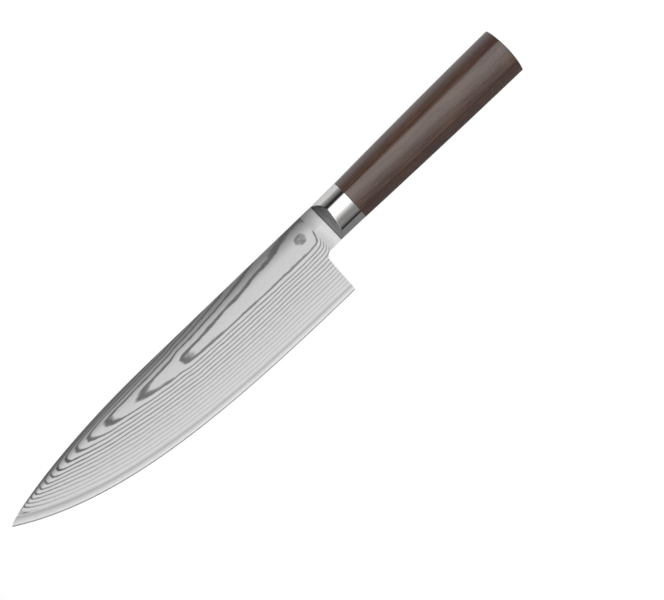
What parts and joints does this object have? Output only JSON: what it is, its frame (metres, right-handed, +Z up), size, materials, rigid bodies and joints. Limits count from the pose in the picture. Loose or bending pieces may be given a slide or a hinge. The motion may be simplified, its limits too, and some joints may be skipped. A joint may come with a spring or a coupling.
{
  "type": "chef's knife",
  "caption": "Clad-blade chef's knife: curved wedge blade with a layered steel pattern, bolster with angled front, flared D-section wooden handle on a hidden tang.",
  "frame": {"origin": "on the axis of the grip, where the back of the bolster meets the handle, which is where a pinch grip holds the knife", "axes": "+X along the knife from the tip to the butt, +Y through its thickness towards the plain right side, +Z up from the edge to the spine"},
  "size_m": [0.3386, 0.0205, 0.0467],
  "materials": {
    "core_steel": "ground satin, bright sharpened bevel",
    "layered_steel": "etched layers, bead-blasted satin",
    "tang_steel": "satin",
    "bolster_steel": "polished",
    "laminated_wood": "satin, resin-impregnated, dark brown",
    "nut_steel": "machined",
    "cap_steel": "satin"
  },
  "bodies": {
    "root": {"blade_core": "core_steel", "cladding_left": "layered_steel", "cladding_right": "layered_steel", "tang": "tang_steel", "bolster": "bolster_steel", "handle": "laminated_wood", "tang_nut": "nut_steel", "end_cap": "cap_steel"}
  },
  "joints": []
}
